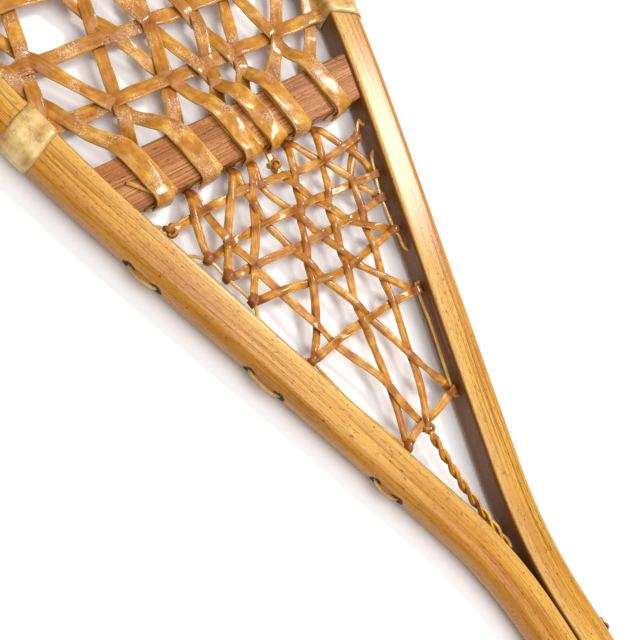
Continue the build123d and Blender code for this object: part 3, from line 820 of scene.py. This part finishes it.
def closed_lace(parts, path, width, thickness, seed):
    """Adds a rawhide lace along a closed path."""
    tangents = unit_rows(np.roll(path, -1, 0) - np.roll(path, 1, 0))
    normals = path - path.mean(0)
    normals = unit_rows(normals - tangents * (normals * tangents).sum(1)[:, None])
    sides = np.cross(tangents, normals)
    across, thick = lace_section(10)
    rows = (path[:, None] + sides[:, None] * across[None, :, None] * width / 2
            + normals[:, None] * thick[None, :, None] * thickness / 2)
    info = np.zeros(rows.shape)
    info[:, :, 0] = np.linspace(0, 0.04, len(path))[:, None] + seed
    info[:, :, 1] = across[None]
    # painted shade over the whole knot
    info[:, :, 2] = 0.4
    parts.grid(rows, info, closed_rows=True)


def make_knot(name, plan, size, turn, tilt):
    parts = Parts()
    path = knot_path((*plan, mid_z), size, turn, tilt)
    closed_lace(parts, path, 3.0 * MM, LACE_THICK, turn)
    return parts.build(name, lace_hide, (name,), "lacing_rawhide")


make_knot("tail_start_knot", LEFT[0], 3.4 * MM, 0.4, 0.5)
make_knot("tail_side_knot", RIGHT[0], 2.6 * MM, 1.3, -0.4)
make_knot("tail_bar_knot", BAR_KNOT, 3.4 * MM, 2.2, 0.9)
make_knot("tail_apex_knot", APEX, 3.9 * MM, 0.9, 0.3)


# ---- Lanyards: thin cord through the rails, carrying the lacing ----
CORD_WIDTH, CORD_THICK = 1.8 * MM, 1.4 * MM


def rail_side_point(x, side, inset, height=0.0):
    """A point at the rail's outer face, moved outwards by inset and up by height."""
    centre, _, outward = rail_at(x, side)
    return centre + outward * (RAIL_WIDTH / 2 + inset) + np.array((0, 0, height))


def stitch_path(ahead, behind_x, side):
    """From inside the rail, out through one hole, along the groove and back through the other."""
    deep, low = -RAIL_WIDTH, STITCH_LOW
    proud = 0.5 * MM
    return [rail_side_point(ahead, side, deep), rail_side_point(ahead, side, -2.5 * MM, low),
            rail_side_point(ahead - 1.2 * MM, side, proud - 0.4 * MM, low),
            rail_side_point((ahead + behind_x) / 2, side, proud + 0.8 * MM, low),
            rail_side_point(behind_x + 1.2 * MM, side, proud - 0.4 * MM, low),
            rail_side_point(behind_x, side, -2.5 * MM, low), rail_side_point(behind_x, side, deep)]


def make_tail_lanyard(side):
    anchors = LEFT if side > 0 else RIGHT
    spots = [np.array((*p, mid_z)) for p in anchors]
    (a0, a1), (b0, b1), (c0, c1) = TAIL_STITCHES
    slack_x = (anchors[4][0] + anchors[5][0]) / 2
    inner = -RAIL_WIDTH - 1.2 * MM
    slack = rail_side_point(slack_x, side, inner - 0.8 * MM)
    route = [spots[0], rail_side_point(a0 + 3 * MM, side, inner - 1.5 * MM), *stitch_path(a0, a1, side),
             *spots[1:4], rail_side_point((b0 + anchors[3][0]) / 2, side, inner - 1.5 * MM),
             *stitch_path(b0, b1, side), spots[4], slack, spots[5], *stitch_path(c0, c1, side)]
    parts = Parts()
    lace(parts, curve_through(route, 1.2 * MM), CORD_WIDTH, CORD_THICK, seed=11 * side, around=10, twist=0.6)
    name = "left" if side > 0 else "right"
    return parts.build(f"tail_lanyard_cord_{name}", cord_hide, (f"tail_lanyard_{name}",), "lanyard_rawhide")


for side in (1, -1):
    make_tail_lanyard(side)


def make_toe_lanyard():
    """A cord round the inside of the toe, with stitches outside each rail."""
    parts = Parts()
    start = toe_bar_high.x + 1 * MM
    last = len(LEFT_RAIL) - 1
    first = int(np.argmin(np.abs(LEFT_RAIL[:, 0] - start)))
    picked = WHOLE_RAIL[first: 2 * last - first + 1]
    ring = np.array([[-RAIL_WIDTH / 2 - 1.3 * MM, 0.0]])
    inner = swept(picked, ring)[:, 0]
    lace(parts, resample(inner, 1.5 * MM)[0], CORD_WIDTH * 1.1, CORD_THICK, seed=31, around=10, twist=0.6)
    for ahead, behind_x in TOE_STITCHES:
        for side in (1, -1):
            path = curve_through(stitch_path(ahead, behind_x, side), 1.2 * MM)
            lace(parts, path, CORD_WIDTH, CORD_THICK, seed=41 + side, around=10, twist=0.6)
    return parts.build("toe_lanyard_cord", cord_hide, ("toe_lanyard",), "lanyard_rawhide")


make_toe_lanyard()


def ply_rope(parts, path, rope_radius, plies, pitch, seed):
    """Laces twisted together along a path."""
    along = distance_along(path)
    tangents, normals = frames_along(path)
    sides = np.cross(tangents, normals)
    ply = rope_radius / (1 + 1 / math.sin(math.pi / plies)) if plies > 2 else rope_radius / 2
    orbit = rope_radius - ply
    for k in range(plies):
        angle = 2 * math.pi * (along / pitch + k / plies) + 0.5 * wander(along, 0.03, seed)
        strand = path + orbit * (normals * np.cos(angle)[:, None] + sides * np.sin(angle)[:, None])
        width = ply * 2.25
        lace(parts, strand, width, width * 0.8, seed=seed + k, around=10, twist=0.3, wobble=0.14)


def make_tail_twist():
    low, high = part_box("tail_twist_cord")
    end = np.array((low.x + 1 * MM, 0, mid_z - 0.5 * MM))
    start = np.array((*APEX, mid_z)) + np.array((-3, 0, 0)) * MM
    bend = (start + end) / 2 + np.array((0, 1.6 * MM, -0.5 * MM))
    parts = Parts()
    ply_rope(parts, curve_through([start, bend, end], 1.0 * MM), 2.5 * MM, 2, 19 * MM, seed=3)
    return parts.build("tail_twist", lace_hide, ("tail_twist_cord",), "lacing_rawhide")


make_tail_twist()


# ---- Rawhide turns round rails and crossbars ----
WRAP = 1.5 * MM
RAIL_TURN_PAIR = 32 * MM


def band_round(parts, ring_of, width, seed, slant):
    """A flat turn: a closed strip whose ring lies at ring_of(place across the strip)."""
    across_count = 15
    places = np.linspace(-0.5, 0.5, across_count)
    inner, outer = [], []
    for k, place in enumerate(places):
        base, normal, level = ring_of(place * width, slant)
        round_count = len(base)
        edge = abs(place) * 2
        lift = WRAP * (1 - 0.55 * max(0.0, (edge - 0.72) / 0.28) ** 2)
        t = np.arange(round_count) / round_count * 2 * math.pi
        bumps = np.array([noise.noise(Vector((math.cos(a) * 1.7 + seed, math.sin(a) * 1.7, place * 2.2)))
                          for a in t])
        fine = np.array([noise.noise(Vector((b * 260).tolist())) for b in base])
        swell = lift * (0.80 + 0.16 * bumps + 0.05 * fine)
        outer.append(base + normal * swell[:, None] + level * (0.55 * MM * bumps * edge)[:, None])
        inner.append(base + normal * 0.05 * MM)
    rows = np.array(outer + inner[::-1])
    info = np.zeros(rows.shape)
    t = np.linspace(0, 0.09, rows.shape[1])
    info[:, :, 0] = t[None, :] + seed
    info[:, :, 1] = np.concatenate([places, places[::-1]])[:, None] * 2
    # painted shade on the inner side of the turn, against the wood
    info[:, :, 2] = np.concatenate([np.zeros(across_count), np.ones(across_count)])[:, None] * 0.5
    rows, info = rows.transpose(1, 0, 2), info.transpose(1, 0, 2)
    parts.grid(rows, info, closed_rows=True)


def rail_ring(x, side):
    """Rings round a rail near x, for band_round."""
    centre, ahead, outward = rail_at(x, side)
    profile = rail_profile(64)
    normals = outline_normals(profile)
    up = np.array((0, 0, 1.0))

    def ring_of(shift, slant):
        here, along, out = rail_at(x + shift * ahead[0], side)
        shares = slant * profile[:, 1] / RAIL_HEIGHT - 5 * MM * profile[:, 0] / RAIL_WIDTH
        lean = along[None] * shares[:, None]
        base = here + out[None] * profile[:, :1] + up[None] * profile[:, 1:] + lean
        return base, out[None] * normals[:, :1] + up[None] * normals[:, 1:], along[None]
    return ring_of


def make_rail_turns(name, node, side, seed):
    low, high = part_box(node)
    middle = (low.x + high.x) / 2
    parts = Parts()
    for k, step in enumerate((-1, 1)):
        slant = 2.6 * MM * step * side
        centre_x = middle + step * RAIL_TURN_PAIR / 2
        band_round(parts, rail_ring(centre_x, side), 19.0 * MM, seed + k * 3.7, slant)
    return parts.build(name, rail_hide, (node,), "rail_rawhide")


turn_nodes = [n for n in sorted(nodes) if n.startswith(("rail_turns_", "toe_cord_turns_"))]
PAIRS = [sum(corner.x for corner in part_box(n)) / 2 for n in turn_nodes if n.startswith("rail_turns_left_")]
for seed, node in enumerate(turn_nodes):
    make_rail_turns(node + "_hide", node, 1 if "left" in node else -1, seed * 2.3 + 1)


def bar_profile(low, high):
    """Rounded outline of a crossbar, as (along X, up)."""
    return even_ring(rounded_outline(high.x - low.x, high.z - low.z, [1.5 * MM] * 4, 6), 60)


def bar_ring(bar_x, y, profile):
    """Rings round a crossbar near y, for band_round."""
    normals = outline_normals(profile)

    def ring_of(shift, slant):
        base = np.zeros((len(profile), 3))
        base[:, 0] = bar_x + profile[:, 0]
        base[:, 1] = y + shift - slant * profile[:, 0] / (2 * bar_half) * np.sign(profile[:, 1])
        base[:, 2] = mid_z + profile[:, 1]
        normal = np.zeros_like(base)
        normal[:, 0], normal[:, 2] = normals[:, 0], normals[:, 1]
        return base, normal, np.array(((0, 1.0, 0),))
    return ring_of


HEEL_WRAPS = [(62.5, 13.0, -4.5), (33.5, 13.0, -5.0), (5.0, 13.0, -4.5), (-12.5, 13.0, -4.0),
              (-31.0, 13.0, -4.0), (-62.5, 13.0, -4.0)]
TOE_WRAPS = [(92.0, 13.0, 2.0), (72.0, 13.0, -2.0), (50.0, 13.0, 2.5), (-50.0, 13.0, -2.5),
             (-72.0, 13.0, 2.0), (-92.0, 13.0, -2.0)]


def make_bar_turns(name, node, bar_x, box, wraps):
    parts = Parts()
    profile = bar_profile(*box)
    for k, (y, width, slant) in enumerate(wraps):
        band_round(parts, bar_ring(bar_x, y * MM, profile), width * MM, 5.1 * k + bar_x * 30, slant * MM)
    return parts.build(name, bar_hide, (node,), "crossbar_rawhide")


make_bar_turns("heel_crossbar_hide", "heel_crossbar_turns", heel_x, (bar_low, bar_high), HEEL_WRAPS)
make_bar_turns("toe_crossbar_hide", "toe_crossbar_turns", toe_bar_x, (toe_bar_low, toe_bar_high), TOE_WRAPS)


# ---- Foot lacing ----
HEAVY_WIDTH, HEAVY_THICK = 8.0 * MM, 2.2 * MM
TOE_CORD_ANCHORS = (76.0, 48.0, 17.0, -17.0, -48.0, -76.0)


def lay_strands(runs, lift, width, thickness, step, seed, twist=0.45):
    """Weaves straight runs, each (set, start, end, side of the crossbar it starts on)."""
    plans = []
    for family, start, end, on_bar in runs:
        start, end = np.array(start), np.array(end)
        controls = [start, (start + end) / 2 + rng.normal(0, 0.5 * MM, 2), end]
        if on_bar:
            lean = 0.09 * np.sign(end[1] - start[1]) + 0.25 * (end[1] - start[1]) / (end[0] - start[0])
            ahead = bar_high.x + 3 * MM - start[0]
            controls.insert(1, start + np.array((ahead, lean * ahead)))
        plans.append((family, curve_through(controls, step)))
    heights, painted_crossing_shades = weave(plans, lift, spread=width)
    parts = Parts()
    for k, ((family, plan), height, painted_crossing_shade, run) in enumerate(zip(plans, heights, painted_crossing_shades, runs)):
        level = np.array([web_z(x) for x in plan[:, 0]])
        widths = np.full(len(plan), width)
        if run[3]:
            ahead = plan[:, 0] - bar_high.x
            climb = 1 - np.clip((ahead - 1 * MM) / (17 * MM), 0, 1)
            climb = climb ** 2 * (3 - 2 * climb)
            height = height * (1 - climb) + climb * run[3] * (bar_high.z - mid_z + WRAP + 0.6 * MM)
            widths = width * (1 + 0.45 * climb)
            painted_crossing_shade = painted_crossing_shade * (1 - climb)
        path = np.column_stack([plan, level + height])
        flat = np.ones(len(path), bool)
        up = (0, 0, 1)
        if run[3] > 0:
            back, y = bar_low.x - WRAP - 0.7 * MM, plan[0][1]
            behind_bar = curve_through([(back, y, mid_z - 3 * MM), (back, y, mid_z + 2.5 * MM),
                                        (back + 1.2 * MM, y, bar_high.z + 1.2 * MM), path[0]], step)[:-1]
            path = np.vstack([behind_bar, path])
            flat = np.concatenate([np.zeros(len(behind_bar), bool), flat])
            painted_crossing_shade = np.concatenate([np.zeros(len(behind_bar)), painted_crossing_shade])
            widths = np.concatenate([np.full(len(behind_bar), widths[0]), widths])
            up = (-1, 0, 0)
        lace(parts, path, widths, thickness, flat, painted_crossing_shade, seed=seed + k * 0.77, around=14, twist=twist, up=up)
    return parts


def foot_anchors():
    rail_x = [x for pair in PAIRS[:-1] for x in (pair - RAIL_TURN_PAIR / 2, pair + RAIL_TURN_PAIR / 2)]
    left = [np.array((x, face_y(x) + 1.5 * MM)) for x in rail_x]
    right = [p * np.array((1, -1)) for p in left]
    heel = [np.array((bar_low.x + 3 * MM, y * MM)) for y, _, _ in HEEL_WRAPS]
    front = [np.array((toe_cord_x, y * MM)) for y in TOE_CORD_ANCHORS]
    return left, right, heel, front


def make_foot_lacing():
    left, right, heel, front = foot_anchors()
    over = [1] * len(heel) + [0] * len(left)
    under = [-side for side in over]
    runs = [(0, a, b, 0) for a, b in zip(left, right)]
    runs += [(1, *run) for run in zip(heel + right[:-2], left[2:] + front, over)]
    runs += [(2, *run) for run in zip(heel[::-1] + left[:-2], right[2:] + front[::-1], under)]
    parts = lay_strands(runs, 1.25 * MM, HEAVY_WIDTH, HEAVY_THICK, 1.8 * MM, 60)
    return parts.build("foot_weave", heavy_hide, ("foot_lacing",), "heavy_rawhide")


make_foot_lacing()


def make_side_lacing(side):
    low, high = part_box("toe_hole_cord_left")
    hole_y = (low.y + high.y) / 2
    rail_x = [PAIRS[-1] - RAIL_TURN_PAIR / 2, PAIRS[-1] + RAIL_TURN_PAIR / 2]
    rails = [(x, face_y(x) + 1.5 * MM) for x in rail_x]
    bar = [(toe_bar_low.x + 1 * MM, y * MM) for y in (92.0, 72.0)]
    cord = [(toe_cord_x, (TOE_CORD_ANCHORS[0] + step) * MM) for step in (8, -12)]
    runs = [(0, rails[0], (rails[0][0], hole_y)), (0, rails[1], (rails[1][0], hole_y)),
            (1, rails[0], bar[1]), (2, rails[1], cord[1]), (1, cord[0], bar[0])]
    flip = np.array((1, side))
    runs = [(f, np.array(a) * flip, np.array(b) * flip, 0) for f, a, b in runs]
    parts = lay_strands(runs, 1.2 * MM, HEAVY_WIDTH * 0.85, HEAVY_THICK, 1.8 * MM, 90 + side)
    name = "left" if side > 0 else "right"
    return parts.build(f"foot_weave_{name}", heavy_hide, (f"foot_lacing_{name}",), "heavy_rawhide")


for side in (1, -1):
    make_side_lacing(side)


def make_toe_cord():
    low, high = toe_cord_low, toe_cord_high
    ends = [np.array((toe_cord_x, low.y, mid_z)), np.array((toe_cord_x, high.y, mid_z))]
    path = resample(ends, 1.2 * MM)[0]
    parts = Parts()
    ply_rope(parts, path, (high.x - low.x) / 2, 3, 30 * MM, seed=21)
    return parts.build("toe_cord_rope", heavy_hide, ("toe_cord",), "heavy_rawhide")


make_toe_cord()


def make_hole_cord(side):
    name = "left" if side > 0 else "right"
    low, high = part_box(f"toe_hole_cord_{name}")
    y = (low.y + high.y) / 2
    ends = np.array(((low.x - 3 * MM, y, mid_z), (high.x, y, mid_z)))
    parts = Parts()
    ply_rope(parts, resample(ends, 1.2 * MM)[0], (high.y - low.y) / 2, 2, 22 * MM, seed=25 + side)
    return parts.build(f"hole_cord_{name}", heavy_hide, (f"toe_hole_cord_{name}",), "heavy_rawhide")


for side in (1, -1):
    make_hole_cord(side)


# ---- Toe lacing ----
TOE_PITCH = 21.0 * MM
TOE_EDGE = swept(WHOLE_RAIL, np.array([[-RAIL_WIDTH / 2 - 1.2 * MM, 0.0]]))[:, 0, :2]


def inside_toe(point):
    """Whether a plan point lies inside the rails and ahead of the toe crossbar."""
    x, y = point
    a, b = TOE_EDGE, np.roll(TOE_EDGE, -1, 0)
    spans = (a[:, 1] > y) != (b[:, 1] > y)
    a, b = a[spans], b[spans]
    crossing = a[:, 0] + (y - a[:, 1]) / (b[:, 1] - a[:, 1]) * (b[:, 0] - a[:, 0])
    return x > toe_bar_high.x + 0.2 * MM and (crossing > x).sum() % 2 == 1


def make_toe_lacing():
    reach = cad_high.y
    runs = []
    for family, (heading, shift) in enumerate(((90, 0.7), (30, 0.35), (-30, 0.35))):
        way = np.array((math.cos(math.radians(heading)), math.sin(math.radians(heading))))
        square = np.array((-way[1], way[0]))
        for i in range(-8, 9):
            middle = np.array((toe_bar_high.x, 0)) + (i + shift) * TOE_PITCH * square
            places = [middle + way * s for s in np.arange(-reach * 1.3, reach * 1.3, 1 * MM)]
            inside = [p for p in places if inside_toe(p)]
            if len(inside) > 8:
                runs.append((family, inside[0], inside[-1], 0))
    parts = lay_strands(runs, 1.0 * MM, 3.9 * MM, 1.8 * MM, 1.8 * MM, 130, twist=0.5)
    return parts.build("toe_weave", lace_hide, ("toe_lacing",), "lacing_rawhide")


make_toe_lacing()


# ---- Thong at the left end of the heel crossbar ----
def make_thong():
    low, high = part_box("heel_crossbar_thong")
    x, y = (low.x + high.x) / 2, (low.y + high.y) / 2
    top = bar_high.z
    route = [(x, y, bar_low.z - 0.5 * MM), (x, y, top - 1 * MM), (x - 0.6 * MM, y - 0.6 * MM, top + 1.0 * MM),
             (x - 6 * MM, y - 5.5 * MM, top + 1.0 * MM), (x - 12 * MM, y - 11 * MM, top + 0.9 * MM)]
    parts = Parts()
    lace(parts, curve_through(route, 0.9 * MM), 2.0 * MM, 1.3 * MM, seed=77, around=10, twist=0.5)
    return parts.build("crossbar_thong", cord_hide, ("heel_crossbar_thong",), "lanyard_rawhide")


make_thong()


# ---- Studio ----
def make_floor():
    half = 6.0
    corners = [(-half, -half, 0), (half, -half, 0), (half, half, 0), (-half, half, 0)]
    mesh = bpy.data.meshes.new("floor")
    mesh.from_pydata(corners, [], [(0, 1, 2, 3)])
    mesh.materials.append(floor_material())
    floor = bpy.data.objects.new("floor", mesh)
    bpy.context.scene.collection.objects.link(floor)


def soft_light(name, place, aim, size, power):
    lamp = bpy.data.lights.new(name, "AREA")
    lamp.shape, lamp.size, lamp.energy = "DISK", size, power
    item = bpy.data.objects.new(name, lamp)
    item.location = place
    item.rotation_mode = "QUATERNION"
    item.rotation_quaternion = (Vector(aim) - Vector(place)).to_track_quat("-Z", "Y")
    bpy.context.scene.collection.objects.link(item)


def make_light():
    world = bpy.data.worlds.new("studio")
    bpy.context.scene.world = world
    world.use_nodes = True
    sky = world.node_tree.nodes["Background"]
    sky.inputs["Color"].default_value = (1, 1, 1, 1)
    sky.inputs["Strength"].default_value = 0.50
    aim = (heel_x - 0.1, 0, 0)
    soft_light("key", (aim[0] + 0.2, -1.0, 1.2), aim, 0.4, 14)
    soft_light("top", (aim[0] - 0.3, -0.1, 1.6), aim, 1.6, 18)


def make_camera():
    """Close to the left side, looking down on the tail section."""
    camera = bpy.data.objects.new("camera", bpy.data.cameras.new("camera"))
    aim = np.array((heel_x - 107.07 * MM, 22.99 * MM, mid_z + 0.5 * MM))
    place = np.array((heel_x - 92.72 * MM, 252.56 * MM, mid_z + 384.78 * MM))
    roll = 1.0481
    forward = unit(aim - place)
    right = unit(np.cross(forward, (0, 0, 1)))
    up = np.cross(right, forward)
    turned_right = math.cos(roll) * right + math.sin(roll) * up
    turned_up = -math.sin(roll) * right + math.cos(roll) * up
    camera.matrix_world = Matrix([
        [turned_right[i], turned_up[i], -forward[i], place[i]] for i in range(3)] + [[0, 0, 0, 1]])
    camera.data.sensor_width = 36.0
    camera.data.lens = 48.17
    camera.data.clip_start = 0.01
    bpy.context.scene.collection.objects.link(camera)
    bpy.context.scene.camera = camera


make_floor()
make_light()
make_camera()
bpy.context.scene.view_settings.view_transform = "Standard"
